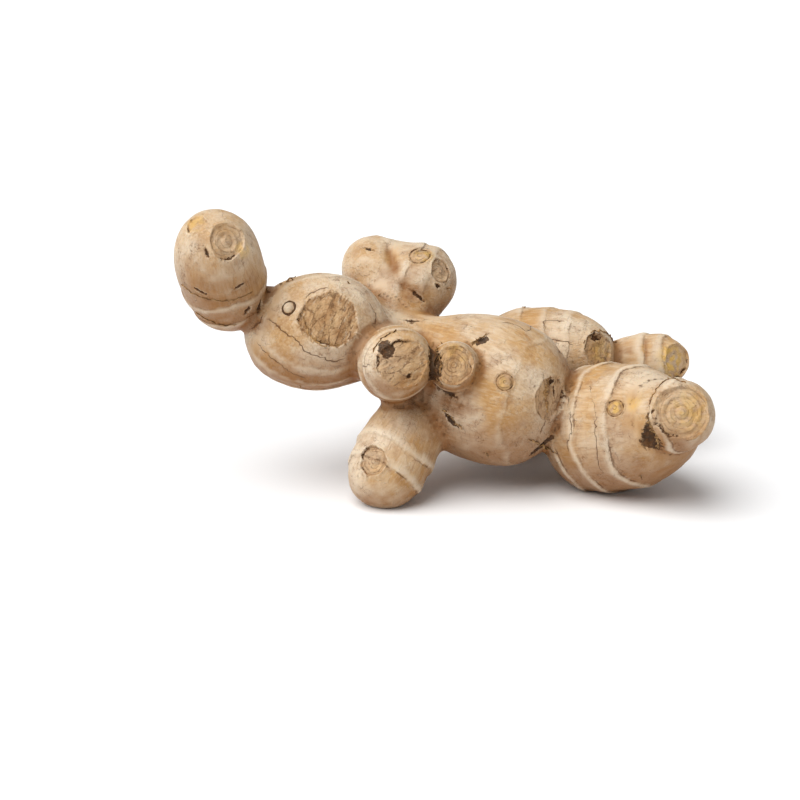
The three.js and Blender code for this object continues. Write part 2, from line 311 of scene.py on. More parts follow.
# Cracks that follow the skin through places seen in the picture.
cracks = {
    "shoulderLow": [(256, 342), (266, 354), (284, 366), (304, 377)],
    "shoulderMid": [(268, 318), (284, 332), (304, 350), (336, 362), (372, 367)],
    "shoulderTop": [(302, 300), (313, 292), (330, 288)],
    "shoulderRight": [(368, 300), (377, 316), (376, 336)],
    "neck": [(250, 330), (262, 322), (266, 306)],
    "sideA": [(500, 322), (526, 331), (552, 338), (574, 345)],
    "sideB": [(526, 331), (546, 323), (566, 322)],
    "sideC": [(552, 338), (560, 352), (576, 362)],
    "waist": [(396, 319), (412, 322), (430, 319)],
    "armA": [(567, 392), (572, 422), (570, 452)],
    "armB": [(590, 384), (597, 416), (596, 450), (604, 474)],
    "armCollar": [(686, 382), (668, 380), (651, 398), (650, 416), (656, 436), (668, 448)],
    "bodyA": [(541, 372), (547, 392), (547, 414), (540, 436)],
}
for feature in [*scars.values(), *buds.values(), *pits.values()]:
    feature["place"] = spotOn(feature["at"])
cracks = {name: [spotOn(place) for place in path] for name, path in cracks.items()}

# Faces near small features are cut smaller, once or twice. Those seen in the picture are cut twice.
reaches = []
for scar in scars.values():
    reaches.append((scar["place"], scar["radius"] * 1.15, 1))
    if len(scar["at"]) == 2:
        reaches.append((scar["place"], scar["radius"] * 1.03, 2))
for bud in buds.values():
    reaches.append((bud["place"], bud["radius"] * 1.35, 2 if len(bud["at"]) == 2 else 1))
for pit in pits.values():
    reaches.append((pit["place"], min(max(pit["size"]) * 1.15, 5.2), 2))
for level in (1, 2):
    middles = np.empty(len(skin.data.polygons) * 3)
    skin.data.polygons.foreach_get("center", middles)
    middles = middles.reshape(-1, 3) * millimetres - centring
    chosen = np.zeros(len(middles), bool)
    for place, reach, deep in reaches:
        if deep >= level:
            chosen |= np.linalg.norm(middles - place, axis=1) < reach
    skin.data.polygons.foreach_set("select", chosen)
    bpy.ops.object.mode_set(mode="EDIT")
    bpy.ops.mesh.select_mode(type="FACE")
    bpy.ops.mesh.subdivide(number_cuts=1)
    bpy.ops.object.mode_set(mode="OBJECT")
points = ontoForm(readPoints(), 3)
count = len(points)
normals = outward(points)
normals /= np.linalg.norm(normals, axis=1)[:, None]
print("fine piece", sum(len(face.vertices) - 2 for face in skin.data.polygons), "triangles")

# Which joint each point belongs to, and its place along and across that joint.
measured = [measure(joints[name], points) for name in ringed]
gaps = np.stack([gap for gap, along in measured])
alongs = np.stack([along for gap, along in measured])
nearest = gaps.min(0)
owner = gaps.argmin(0)
weights = np.exp((nearest - gaps) / 1.2)
weights /= weights.sum(0)
seamAway = smooth(1.0, 2.4, np.sort(gaps, 0)[1] - nearest)
grain = np.zeros_like(points)
for index, name in enumerate(ringed):
    j = joints[name]
    mine = owner == index
    offset = points[mine] - j["at"]
    grain[mine] = np.stack([offset @ j["axis"], offset @ j["side"], offset @ j["other"]], 1) + 40 * index

# Creases: where two joints meet at the surface. They are darkened there as painted shade.
closest, second = np.sort(np.stack([measure(j, points)[0] for j in joints.values()]), 0)[:2]
creaseShade = np.exp(-np.maximum(second - closest, 0) / 1.1) * np.exp(-np.maximum(closest, 0) / 0.7)


# Measures round a place on the skin: right, up and out, in a frame that lies on the skin as it is seen.
def seat(place, reach):
    away = np.linalg.norm(points - place, axis=1)
    near = away < away.min() + max(reach, 0.8)
    out = normals[near].sum(0)
    out /= np.linalg.norm(out)
    right = np.array((1.0, 0.0, 0.0)) if abs(out[0]) < 0.9 else np.array((0.0, 1.0, 0.0))
    right -= out * (right @ out)
    right /= np.linalg.norm(right)
    up = np.cross(out, right)
    offset = points - place
    return {
        "out": out, "right": offset @ right, "up": offset @ up,
        "height": offset @ out, "faces": normals @ out,
    }


# The same measures, lengthwise and crosswise of a direction.
def turnedBy(s, degrees):
    turn = math.radians(degrees)
    lengthwise = s["right"] * math.cos(turn) + s["up"] * math.sin(turn)
    crosswise = s["up"] * math.cos(turn) - s["right"] * math.sin(turn)
    return lengthwise, crosswise


def bell(value, middle, width):
    return np.exp(-(((value - middle) / width) ** 2))


# Growth rings: a gentle rise and a short fall, with a line under the fall.
ringForm = {"height": 0.8, "rise": 3.0, "fall": 0.8, "usualStrength": 0.8}
strengths = {"body": 0.3, "shoulder": 0.5, "stub": 0.42, "head": 0.55, "crownBase": 0.5, "back": 0.5}
wander = 0.7 * np.sin((points @ np.array((1, 2, -1))) / 6) + noiseAt(points, 8) + 0.4 * noiseAt(points, 2.2)
presence = smooth(-0.25, 0.2, noiseAt(points, 9, 31))
height = np.zeros(count)
ringGap = np.full(count, 6.0)
ringShow = np.zeros(count)
for index, name in enumerate(ringed):
    strength = strengths.get(name, ringForm["usualStrength"])
    best = np.zeros(count)
    mine = owner == index
    for ring in joints[name]["rings"]:
        past = alongs[index] + wander - ring
        best = np.maximum(best, bell(past, 0, np.where(past > 0, ringForm["fall"], ringForm["rise"])))
        pastFall = past - ringForm["fall"]
        closer = mine & (np.abs(pastFall) < np.abs(ringGap))
        ringGap[closer] = pastFall[closer]
    height += weights[index] * ringForm["height"] * strength * best
    ringShow[mine] = strength
ringShow *= (0.25 + 0.75 * presence) * smooth(2.5, 0.8, nearest)
ringShow *= smooth(2.2, 1.4, np.abs(ringGap)) * seamAway
height += 0.1 * noiseAt(points, 2.6, 11) + 0.4 * noiseAt(points, 12, 5)
points = points + normals * height[:, None]

# Dents, and bulges where the depth is below zero: half length and half width, turn as seen, depth.
dents = {
    "headSlant": {"at": (206, 250), "size": (2.4, 5.5), "turn": 20, "depth": 1.0},
    "headLeft": {"at": (188, 264), "size": (3.5, 4.0), "turn": 0, "depth": 0.4},
    "headRight": {"at": (236, 266), "size": (4.0, 3.0), "turn": 20, "depth": 0.5},
    "headLow": {"at": (222, 286), "size": (6.0, 2.0), "turn": 8, "depth": 0.4},
    "shoulderRight": {"at": (352, 350), "size": (5.0, 2.5), "turn": 50, "depth": 0.6},
    "shoulderLeft": {"at": (292, 340), "size": (7.0, 2.5), "turn": -25, "depth": 0.4},
    "shoulderNeck": {"at": (262, 345), "size": (3.0, 6.0), "turn": 30, "depth": 0.4},
    "shoulderLow": {"at": (312, 372), "size": (6.0, 3.0), "turn": 5, "depth": -0.4},
    "stubLow": {"at": (385, 396), "size": (5.0, 3.0), "turn": 20, "depth": -0.5},
    "stubRight": {"at": (416, 392), "size": (4.0, 3.0), "turn": -20, "depth": 0.4},
    "stubFoldA": {"at": (362, 372), "size": (1.5, 6.0), "turn": 12, "depth": 0.7},
    "stubFoldB": {"at": (372, 360), "size": (1.2, 6.0), "turn": 12, "depth": 0.4},
    "crownFold": {"at": (392, 258), "size": (1.9, 6.0), "turn": 15, "depth": 1.8},
    "crownLine": {"at": (410, 291), "size": (5.0, 1.6), "turn": -42, "depth": 1.3},
    "crownBulge": {"at": (430, 262), "size": (4.0, 3.0), "turn": 0, "depth": -0.5},
    "crownLeft": {"at": (371, 252), "size": (4.0, 1.8), "turn": -25, "depth": 0.9},
    "bodyTop": {"at": (520, 350), "size": (8.0, 5.0), "turn": 20, "depth": 0.4},
    "bodyMiddle": {"at": (486, 400), "size": (5.0, 7.0), "turn": 0, "depth": 0.35},
    "bodyRight": {"at": (538, 420), "size": (4.0, 7.0), "turn": -10, "depth": 0.4},
    "bodyLow": {"at": (466, 445), "size": (6.0, 4.0), "turn": 20, "depth": -0.4},
    "armMiddle": {"at": (606, 440), "size": (4.0, 9.0), "turn": 5, "depth": 0.5},
    "armTop": {"at": (632, 396), "size": (5.0, 4.0), "turn": -20, "depth": 0.5},
    "armFold": {"at": (585, 430), "size": (2.0, 9.0), "turn": 3, "depth": 0.5},
    "armLow": {"at": (662, 462), "size": (7.0, 4.0), "turn": 30, "depth": -0.5},
    "sideMiddle": {"at": (560, 340), "size": (6.0, 3.0), "turn": -15, "depth": 0.5},
    "sideTop": {"at": (540, 322), "size": (6.0, 3.0), "turn": 0, "depth": -0.4},
    "spurFold": {"at": (645, 350), "size": (1.5, 4.0), "turn": 0, "depth": 0.5},
    "shoulderRear": {"at": (-45, 12, 50), "size": (6, 4), "turn": 0, "depth": 0.6},
    "bodyRear": {"at": (20, 8, 48), "size": (8, 5), "turn": 30, "depth": 0.6},
    "crownRear": {"at": (-12, 30, 60), "size": (5, 3), "turn": 0, "depth": 0.5},
    "armRear": {"at": (72, -12, 16), "size": (4, 7), "turn": 0, "depth": 0.5},
    "sideRear": {"at": (30, 42, 24), "size": (7, 4), "turn": 0, "depth": 0.5},
}
for dent in dents.values():
    long, wide = dent["size"]
    s = seat(spotOn(dent["at"]), 1.5)
    lengthwise, crosswise = turnedBy(s, dent["turn"])
    near = np.exp(-((lengthwise / long) ** 2 + (crosswise / wide) ** 2 + (s["height"] / 8) ** 2))
    near *= smooth(0, 0.4, s["faces"])
    points = points - s["out"] * (dent["depth"] * near)[:, None]
print("rings raised, dents pressed")

# What the material reads besides the form: each is a value or a place for every point of the skin.
# Two of these carry painted shade: the dark marks, in creases, pits and open scar rims, and the browner
# shaded places.
scarred, spotRing, dirt, gold, pale, stain = np.zeros((6, count))
spotPlace = np.zeros((count, 3))

for scar in scars.values():
    radius = scar["radius"]
    s = seat(scar["place"], radius * 0.8)
    around = np.arctan2(s["up"], s["right"])
    wavy = 1 + 0.05 * np.sin(2 * around + radius) + 0.04 * np.sin(3 * around - radius)
    wavy += 0.03 * np.sin(7 * around + 2 * radius)
    t = np.hypot(s["right"], s["up"]) / (radius * wavy)
    here = (np.abs(s["height"]) < radius) & (s["faces"] > 0.05)
    edge = here & (np.abs(t - 1) < 0.12)
    level = s["height"][edge].mean() if edge.any() else 0
    inner = here & (t < 1.5)
    u = t[inner]
    lengthwise, crosswise = turnedBy(s, scar["fibres"])
    spot = np.stack([lengthwise[inner], crosswise[inner], np.zeros_like(u)], 1)
    torn = 0.9 * noiseAt(spot, 2.8, radius + 9) + 0.35 * noiseAt(spot / (1.8, 0.9, 1), 1, radius)
    torn += 0.25 * noiseAt(spot, 0.6, radius + 3)
    waves = np.sin((u * radius * wavy[inner] + 0.9 * noiseAt(spot, 3, 4)) * 2.6) * scar["ringed"]
    openShadeSide = np.clip(np.cos(around[inner] - math.radians(scar["shadeSide"])), 0, 1)
    broken = smooth(-0.25, 0.25, noiseAt(spot, 2.6, radius + 2))
    dish = smooth(1.0, 0.86, u)
    profile = -0.35 * dish + scar["dome"] * np.maximum(1 - u**2, 0)
    profile += dish * (0.4 * torn * (1 - 0.6 * scar["ringed"]) + 0.16 * waves)
    profile += scar.get("knob", 0) * bell(u, 0, 0.2) - (0.1 + 0.8 * openShadeSide) * broken * bell(u, 0.95, 0.06)
    lip = scar.get("lip", 0.3) * bell(u, 1.06, 0.09)
    keep = smooth(1.06, 0.97, u)
    points[inner] += s["out"] * ((level + profile - s["height"][inner]) * keep + lip)[:, None]
    frayed = u + 0.13 * noiseAt(spot, 1.3, 5) + 0.1 * noiseAt(spot, 0.55, 7)
    mask = smooth(1.06, 0.94, frayed)
    strongest = mask * scar["grey"] > scarred[inner]
    spotPlace[inner] = np.where(strongest[:, None], spot, spotPlace[inner])
    spotRing[inner] = np.where(strongest, scar["ringed"], spotRing[inner])
    scarred[inner] = np.maximum(scarred[inner], mask * scar["grey"])
    # the rim is dark all round, and darker on the open side as painted shade
    rimDirtAndShade = (0.4 + 0.5 * openShadeSide) * (0.4 + 0.6 * broken) * bell(frayed, 0.96, 0.06)
    faceDirt = 0.5 * mask * smooth(0.35, 0.75, torn) * scar["grey"]
    dirt[inner] = np.maximum(dirt[inner], np.maximum(rimDirtAndShade, faceDirt))

for bud in buds.values():
    radius = bud["radius"]
    s = seat(bud["place"], radius)
    t = np.hypot(s["right"], s["up"]) / radius
    here = (np.abs(s["height"]) < 3 * radius) & (s["faces"] > 0.2) & (t < 2.2)
    u = t[here]
    rise = bud["high"] * (np.maximum(1 - u**2, 0) - 0.35 * bell(u, 0, 0.3))
    rise += 0.22 * bell(u, 1.3, 0.16) - 0.3 * bell(u, 1.05, 0.12)
    points[here] += s["out"] * rise[:, None]
    spotPlace[here] = np.stack([s["right"][here], s["up"][here], np.zeros_like(u)], 1)
    spotRing[here] = 1
    paleness = bud.get("pale", 0)
    plain = 1 - paleness
    pale[here] = np.maximum(pale[here], paleness * smooth(1.0, 0.6, u))
    scarred[here] = np.maximum(scarred[here], 0.55 * smooth(1.6, 1.1, u) * plain)
    dirt[here] = np.maximum(dirt[here], (0.8 - 0.25 * plain) * bell(u, 1.1, 0.24 - 0.1 * plain))

for pit in pits.values():
    long, wide = pit["size"]
    s = seat(pit["place"], wide)
    lengthwise, crosswise = turnedBy(s, pit["turn"])
    narrowed = long * (1 - pit.get("narrows", 0) * np.clip(crosswise / wide, -1, 1))
    t = np.hypot(lengthwise / narrowed, crosswise / wide)
    here = (np.abs(s["height"]) < max(long, wide)) & (s["faces"] > 0) & (t < 2.5)
    wobble = min(1, 1.3 / min(long, wide))
    u = t[here] + wobble * (0.45 * noiseAt(points[here], 1.0, 19) + 0.3 * noiseAt(points[here], 0.45, 23))
    sunk = 0.15 * bell(u, 1.25, 0.25) - pit["depth"] * smooth(1.1, 0.35, u)
    points[here] += s["out"] * sunk[:, None]
    # painted shade inside the pit
    dirt[here] = np.maximum(dirt[here], 0.85 * smooth(1.3, 0.8 if pit.get("solid") else 0.3, u))

crackGap = np.full(count, 9.0)
crackShow = np.zeros(count)
shifts = [1.3 * noiseAt(points, 3.5, seed) + 0.5 * noiseAt(points, 1.3, seed) for seed in (71, 83, 97)]
strayed = points + np.stack(shifts, 1)
for path in cracks.values():
    whole = sum(np.linalg.norm(b - a) for a, b in zip(path, path[1:]))
    passed = 0
    for a, b in zip(path, path[1:]):
        length = np.linalg.norm(b - a)
        t = np.clip(((strayed - a) @ (b - a)) / length**2, 0, 1)
        off = strayed - a - t[:, None] * (b - a)
        away = np.linalg.norm(off, axis=1)
        side = np.sign((np.cross(normals, b - a) * off).sum(1))
        closer = away < np.abs(crackGap)
        crackGap[closer] = (away * side)[closer]
        along = passed + t * length
        crackShow[closer] = (smooth(0, 1.5, along) * smooth(0, 1.5, whole - along))[closer]
        passed += length
crackShow *= smooth(2.2, 1.2, np.abs(crackGap))
points -= normals * (0.25 * crackShow * bell(crackGap, 0, 0.5))[:, None]
print("scars, buds, pits and cracks cut")

# Yellowish places where the skin is thin.
yellowish = {
    "headTop": {"at": (194, 222), "reach": 3.6, "strength": 0.5},
    "headSide": {"at": (244, 250), "reach": 3.0, "strength": 0.5},
    "armTip": {"at": (690, 408), "reach": 7.5, "strength": 0.4},
    "peg": {"at": (458, 352), "reach": 4.0, "strength": 0.35},
    "arm": {"at": (615, 408), "reach": 2.6, "strength": 0.7},
    "armStreak": {"at": (634, 401), "reach": 3.6, "strength": 0.5},
    "spurEnd": {"at": (73, 22, 30), "reach": 6.5, "strength": 0.8},
    "crown": {"at": (424, 257), "reach": 3.4, "strength": 0.6},
    "body": {"at": (505, 382), "reach": 2.6, "strength": 0.3},
    "sideScar": {"at": (604, 352), "reach": 5.0, "strength": 0.35},
}
for spot in yellowish.values():
    t = np.linalg.norm(points - spotOn(spot["at"]), axis=1) / spot["reach"]
    here = t < 1.5
    patchy = smooth(-0.35, 0.2, noiseAt(points[here], 1.8, 23))
    gold[here] = np.maximum(gold[here], spot["strength"] * smooth(1.2, 0.4, t[here]) * patchy)

# Painted shade: browner places on low sides, in folds and under overhanging joints, where shade falls.
paintedShadeSpots = {
    "crownLow": {"at": (408, 292), "reach": 8.0, "strength": 0.8},
    "crownFold": {"at": (392, 272), "reach": 5.0, "strength": 0.6},
    "crownLeft": {"at": (366, 290), "reach": 6.0, "strength": 0.5},
    "shoulderLow": {"at": (305, 380), "reach": 10.0, "strength": 0.8},
    "shoulderRight": {"at": (352, 372), "reach": 7.0, "strength": 0.9},
    "shoulderLeft": {"at": (262, 322), "reach": 6.0, "strength": 0.6},
    "stubLow": {"at": (378, 388), "reach": 6.0, "strength": 0.6},
    "bodyLeft": {"at": (456, 402), "reach": 9.0, "strength": 1.0},
    "bodyLow": {"at": (440, 425), "reach": 9.0, "strength": 1.0},
    "stubRight": {"at": (430, 385), "reach": 4.0, "strength": 0.9},
    "pegRight": {"at": (480, 368), "reach": 4.0, "strength": 0.5},
    "bodyRight": {"at": (552, 430), "reach": 7.0, "strength": 0.6},
    "backLow": {"at": (566, 362), "reach": 7.0, "strength": 0.8},
    "armMiddle": {"at": (615, 434), "reach": 9.0, "strength": 0.6},
    "headRight": {"at": (254, 278), "reach": 6.0, "strength": 0.4},
    "foot": {"at": (-10, -24, 20), "reach": 9.0, "strength": 0.5},
}
uneven = 0.25 * noiseAt(points, 5, 61)
for spot in paintedShadeSpots.values():
    t = np.linalg.norm(points - spotOn(spot["at"]), axis=1) / spot["reach"] + uneven
    stain = np.maximum(stain, spot["strength"] * smooth(1.3, 0.1, t))

# The finished places go back to the mesh, inside the solid's box and above the ground.
lowest, highest = np.array(cadBox) * millimetres
points = np.clip(points + centring, lowest, highest)
skin.data.vertices.foreach_set("co", (points / millimetres).ravel())
skin.data.update()

# Hollows, darkened as painted shade, and worn places, from each vertex against the middle of its neighbours.
ends = np.empty(len(skin.data.edges) * 2, int)
skin.data.edges.foreach_get("vertices", ends)
ends = ends.reshape(-1, 2)
links = np.bincount(ends.ravel(), minlength=count)
moved = points.copy()
for turn in range(4):
    total = np.zeros_like(points)
    np.add.at(total, ends[:, 0], moved[ends[:, 1]])
    np.add.at(total, ends[:, 1], moved[ends[:, 0]])
    moved = total / links[:, None]
bend = ((moved - points) * normals).sum(1)

saved = {
    "ringGap": ringGap, "ringShow": np.clip(ringShow, 0, 1), "crackGap": crackGap, "crackShow": crackShow,
    "scarred": np.clip(scarred, 0, 1), "spotRing": spotRing, "spotPlace": spotPlace, "grain": grain,
    # dark marks: scar soil and bud rings, and painted shade in creases, pits and open scar rims
    "dirt": np.clip(np.maximum(dirt, creaseShade), 0, 1), "gold": np.clip(gold, 0, 1), "stain": stain,
    "hollow": smooth(0.03, 0.3, bend), "worn": np.maximum(smooth(0.05, 0.3, -bend), pale),
    # painted shade: the skin is darker the more it faces down
    "under": smooth(0.35, -0.75, normals[:, 2]), "seamAway": seamAway,
}
for name, values in saved.items():
    isPlace = values.ndim == 2
    made = skin.data.attributes.new(name, "FLOAT_VECTOR" if isPlace else "FLOAT", "POINT")
    made.data.foreach_set("vector" if isPlace else "value", np.asarray(values, np.float32).ravel())
print("skin finished")


def linear(hexColour):
    channels = [int(hexColour[i : i + 2], 16) / 255 for i in (1, 3, 5)]
    return tuple(c / 12.92 if c <= 0.04045 else ((c + 0.055) / 1.055) ** 2.4 for c in channels) + (1.0,)


def emptyMaterial(name):
    material = bpy.data.materials.new(name)
    material.use_nodes = True
    material.node_tree.nodes.clear()
    return material, material.node_tree


# Adds a node with its settings and links, and gives back one of its outputs.
def add(nodeTree, kind, inputs, output=0, **settings):
    node = nodeTree.nodes.new("ShaderNode" + kind)
    for name, value in settings.items():
        setattr(node, name, value)
    for socket, value in inputs.items():
        if isinstance(value, bpy.types.NodeSocket):
            nodeTree.links.new(value, node.inputs[socket])
        else:
            node.inputs[socket].default_value = value
    return node.outputs[output] if node.outputs else None


# Ginger skin: thin, papery and dry, in tan to cream, with fibres along each joint. It shines a little.
gingerSkin, tree = emptyMaterial("ginger_skin")
gingerColours = {
    # The darkest colour serves for soil and for painted shade in creases, pits and open scar rims.
    "tan": "#BA8E55", "cream": "#DCCCB4", "brown": "#845018", "line": "#573413", "dirt": "#3A230F",
    "scar": "#8F6438", "scarLight": "#D0AC80", "gold": "#DDB04A",
}
place = add(tree, "TexCoord", {}, "Object")
parts = {}
for name, values in saved.items():
    output = "Vector" if values.ndim == 2 else "Fac"
    parts[name] = add(tree, "Attribute", {}, output, attribute_name=name)
grained = parts["grain"]       # in millimetres, along and across the joint
spotAt = parts["spotPlace"]    # in millimetres, round a scar's or bud's middle

# Patterns: where, size (metres on the object, else millimetres), stretch, detail, roughness.
patterns = {
    "patches": (place, 0.018, (1, 1, 1), 2, 0.55),       # broad unevenness, about a finger's width
    "mottle": (place, 0.0045, (1, 1, 1), 4, 0.55),       # blotches of 4 to 5 mm
    "tiny": (place, 0.0006, (1, 1, 1), 3, 0.55),         # grain of the dry skin
    "ragged": (place, 0.0014, (1, 1, 1), 3, 0.55),       # breaks up lines and edges
    "fibres": (grained, 0.7, (0.14, 1, 1), 3, 0.55),     # fibres 0.7 mm apart, seven times as long
    "wrinkles": (grained, 1.0, (1, 0.14, 0.14), 3, 0.55),  # fine wrinkles across the joint, 1 mm apart
    "peeled": (grained, 5.5, (0.6, 1, 1), 5, 0.62),      # papery patches of 5 to 10 mm with torn edges
    "torn": (spotAt, 1.5, (0.3, 1, 1), 5, 0.58),         # torn fibres of a scar, 1.5 mm wide
    "flecks": (spotAt, 1.1, (0.25, 1, 1), 3, 0.55),      # pale flecks of a scar, 1 mm wide
    "strata": (spotAt, 3.4, (0.4, 1, 1), 4, 0.5),        # torn layers of a scar, 3 to 8 mm
}
for name, (where, size, stretch, detail, rough) in patterns.items():
    scaled = add(tree, "Mapping", {"Vector": where, "Scale": tuple(s / size for s in stretch)})
    noiseInputs = {"Vector": scaled, "Scale": 1.0, "Detail": detail, "Roughness": rough}
    parts[name] = add(tree, "TexNoise", noiseInputs, "Fac")
steps = {0: parts["strata"], 1: 0.3, 2: 0.7, 3: 0.0, 4: 1.0, 5: 6.0}
parts["layers"] = add(tree, "MapRange", steps, interpolation_type="STEPPED")
parts["fineAlong"] = add(tree, "SeparateXYZ", {"Vector": grained})
parts["spotAway"] = add(tree, "VectorMath", {0: spotAt}, "Value", operation="LENGTH")

# Short cracks: borders of cells 7 mm wide. Splits of a scar: borders of cells 2 to 4 mm wide.
cellStray = add(tree, "TexNoise", {"Vector": place, "Scale": 400.0, "Detail": 3.0}, "Color")
cellPlace = {0: place, 1: (140, 140, 140), 2: cellStray}
cellAt = add(tree, "VectorMath", cellPlace, operation="MULTIPLY_ADD")
splitStray = add(tree, "TexNoise", {"Vector": spotAt, "Scale": 0.6, "Detail": 3.0}, "Color")
splitPlace = add(tree, "Mix", {0: 0.35, 4: spotAt, 5: splitStray}, 1, data_type="VECTOR")
splitAt = add(tree, "Mapping", {"Vector": splitPlace, "Scale": (0.22, 0.55, 1.0)})
for name, where in {"cells": cellAt, "split": splitAt}.items():
    border = {"Vector": where, "Scale": 1.0, "Randomness": 1.0}
    parts[name] = add(tree, "TexVoronoi", border, "Distance", feature="DISTANCE_TO_EDGE")

# Each line makes one more part of the skin: how its pieces are joined, then the pieces. A piece is a number,
# an earlier part, or an earlier part with the two levels that it ramps between and the values there.
recipes = {
    "jitter": ("MULTIPLY_ADD", "ragged", 1.1, -0.55),
    # growth rings, and the paler lip above each
    "ringNear": ("ADD", "ringGap", "jitter"),
    "ringAway": ("ABSOLUTE", "ringNear"),
    "ringLine": ("MULTIPLY", ("ringAway", 0.38, 0.06), ("mottle", 0.36, 0.56), "ringShow"),
    "ringRise": ("ADD", "ringGap", 0.9),
    "ringLip": ("MULTIPLY", ("ringRise", 0.8, 0.1), "ringShow"),
    # fine lines across the joint
    "fineShift": ("MULTIPLY", "mottle", 5.0),
    "fineAt": ("ADD", "fineAlong", "fineShift"),
    "fineTurn": ("MULTIPLY", "fineAt", 3.3),
    "fineWave": ("SINE", "fineTurn"),
    "fineBroken": ("MULTIPLY", ("patches", 0.5, 0.62), ("ragged", 0.42, 0.6)),
    "fineLine": ("MULTIPLY", "seamAway", ("fineWave", 0.86, 0.99), "fineBroken"),
    # cracks, long and short
    "crackNear": ("ADD", "crackGap", -0.25),
    "crackStray": ("MULTIPLY_ADD", "ragged", 0.5, "crackNear"),
    "crackAway": ("ABSOLUTE", "crackStray"),
    "crackLine": ("MULTIPLY", ("crackAway", 0.3, 0.08), ("mottle", 0.3, 0.42), "crackShow"),
    "shortCrack": ("MULTIPLY", ("cells", 0.018, 0.004), ("mottle", 0.52, 0.6), ("patches", 0.42, 0.55)),
    # scars: rings round the middle, splits and torn fibres
    "spotStray": ("MULTIPLY_ADD", "mottle", 2.4, "spotAway"),
    "spotTurn": ("MULTIPLY", "spotStray", 4.6),
    "spotWave": ("SINE", "spotTurn"),
    "scarRings": ("MULTIPLY", ("spotWave", 0.5, 0.95), ("ragged", 0.35, 0.55), "spotRing"),
    "splitLine": ("MULTIPLY", ("split", 0.085, 0.02), ("ragged", 0.4, 0.55)),
    "tears": ("MAXIMUM", "splitLine", ("torn", 0.6, 0.7)),
    "ringless": ("MULTIPLY_ADD", "spotRing", -0.75, 1.0),
    "tornLine": ("MULTIPLY", "tears", "ringless"),
    "scarMarks": ("MAXIMUM", "scarRings", "tornLine"),
    "scarLine": ("MULTIPLY", "scarMarks", "scarred"),
    # soil, and painted shade: shaded places and the darker underside
    # dark marks: soil, and painted shade in creases, pits and scar rims
    "dirtAndShadeStray": ("ADD", "dirt", "jitter"),
    "dirtEdge": ("MULTIPLY", ("dirtAndShadeStray", 0.42, 0.72)),
    # painted shade: the browner shaded places, made uneven by the mottle
    "stained": ("MULTIPLY", "stain", ("mottle", 0.25, 0.6, 0.5, 1.0)),
    "stainedPart": ("MULTIPLY", "stained", 0.85),
    # painted shade on the underside
    "lowPart": ("MULTIPLY", "under", 0.78),
    # how far each coat of colour covers
    "paleCover": ("MULTIPLY", ("patches", 0.34, 0.66, 0.08, 0.78)),
    "blotchCover": ("MULTIPLY", ("mottle", 0.48, 0.7, 0, 0.36)),
    "peelPaleCover": ("MULTIPLY", ("peeled", 0.5, 0.53, 0, 0.2), "seamAway"),
    "peelBrownCover": ("MULTIPLY", ("peeled", 0.44, 0.41, 0, 0.16), "seamAway"),
    "fibreBrownCover": ("MULTIPLY", ("fibres", 0.48, 0.7, 0, 0.22), "seamAway"),
    "fibrePaleCover": ("MULTIPLY", ("fibres", 0.5, 0.34, 0, 0.2), "seamAway"),
    "wrinkleCover": ("MULTIPLY", ("wrinkles", 0.6, 0.76, 0, 0.16), "seamAway"),
    # painted shade: the darker of the underside and the shaded places
    "paintedShadeCover": ("MAXIMUM", "lowPart", "stainedPart"),
    "paintedShadeLineCover": ("MULTIPLY", ("stained", 0.55, 1.0, 0, 0.3), ("ragged", 0.4, 0.6)),
    "wornCover": ("MULTIPLY", "worn", 0.5),
    "lipCover": ("MULTIPLY", "ringLip", 0.35),
    "tornCover": ("MULTIPLY", ("torn", 0.46, 0.62, 0, 0.6)),
    "fleckCover": ("MULTIPLY", ("flecks", 0.55, 0.7, 0, 0.4)),
    "goldCover": ("MULTIPLY", "gold", 0.8),
    # painted shade: hollows darkened brown
    "hollowShadeCover": ("MULTIPLY", "hollow", 0.7),
    "scarLineCover": ("MULTIPLY", "scarLine", 0.85),
    "fineFaint": ("MULTIPLY", "fineLine", 0.6),
    "fineMarks": ("MAXIMUM", "fineFaint", "shortCrack"),
    "fineCover": ("MULTIPLY", "fineMarks", 0.6),
    "skinLine": ("MAXIMUM", "ringLine", "crackLine"),
    "lineCover": ("MULTIPLY", "skinLine", 0.75),
    "tinyCover": ("MULTIPLY", ("tiny", 0.68, 0.8, 0, 0.4)),
    "soilAndShadeCover": ("MULTIPLY", ("ragged", 0.45, 0.62)),
    "dirtAndShadeCover": ("MULTIPLY", "dirtEdge", 0.92),
    # relief in millimetres: fibres, wrinkles and layers stand up, lines and soil are cut in
    "fibreRise": ("MULTIPLY", "fibres", 0.1),
    "wrinkleRise": ("MULTIPLY", "wrinkles", 0.12),
    "peelRise": ("MULTIPLY", ("peeled", 0.5, 0.53), 0.1),
    "softRise": ("ADD", "fibreRise", "wrinkleRise", "peelRise"),
    "softPart": ("MULTIPLY", "softRise", "seamAway"),
    "tinyRise": ("MULTIPLY", "tiny", 0.06),
    "layerRise": ("MULTIPLY", "layers", "scarred", 0.35),
    "raised": ("ADD", "softPart", "tinyRise", "layerRise"),
    "scarCut": ("MULTIPLY", "scarLine", 0.8),
    "cuts": ("ADD", "skinLine", "scarCut", "dirtEdge"),
    "cutDepth": ("MULTIPLY", "cuts", 0.22),
    "relief": ("SUBTRACT", "raised", "cutDepth"),
    # dry scars shine less
    "dryness": ("MULTIPLY", "scarred", 0.25),
    "roughness": ("ADD", ("mottle", 0.3, 0.7, 0.46, 0.6), "dryness"),
}
